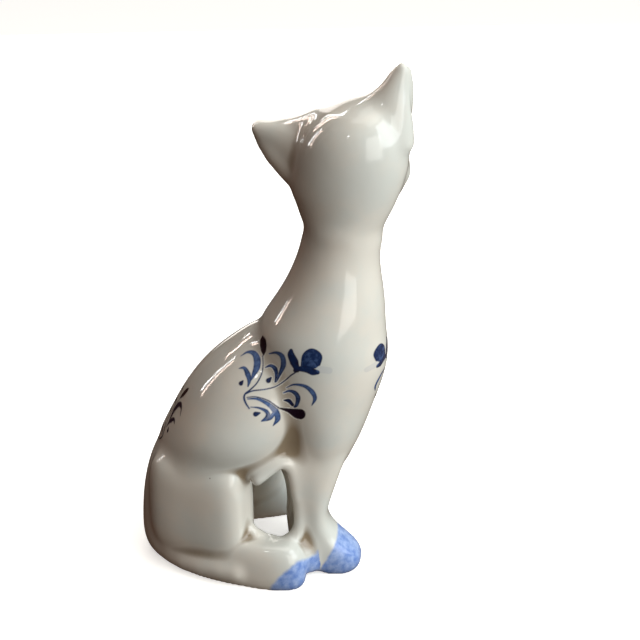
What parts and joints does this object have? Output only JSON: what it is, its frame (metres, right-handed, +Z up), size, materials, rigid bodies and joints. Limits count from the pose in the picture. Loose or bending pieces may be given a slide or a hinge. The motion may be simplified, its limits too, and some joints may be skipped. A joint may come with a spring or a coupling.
{
  "type": "cat figurine",
  "caption": "Seated cat figurine in glazed ceramic with its head turned to look over one side, hand-painted cobalt sprays and blue paws.",
  "frame": {"origin": "centre of the bounding box's underside, on the surface the figurine sits on", "axes": "+Z up; the cat's body faces +X and its left side is towards +Y; its head is turned towards +Y"},
  "size_m": [0.0942, 0.07, 0.1818],
  "materials": {
    "glaze": "clear gloss glaze over off-white clay, with blue brushwork under it",
    "cobalt_paint": "cobalt and dark manganese brush strokes under a clear gloss glaze",
    "bare_clay": "unglazed fired clay, fine grained and matt"
  },
  "bodies": {
    "root": {"torso_shell": "glaze", "base_disc": "bare_clay", "head_shell": "glaze", "muzzle": "glaze", "left_ear": "glaze", "right_ear": "glaze", "left_haunch": "glaze", "right_haunch": "glaze", "left_hind_foot": "glaze", "right_hind_foot": "glaze", "left_front_leg": "glaze", "right_front_leg": "glaze", "tail": "glaze"}
  },
  "joints": []
}
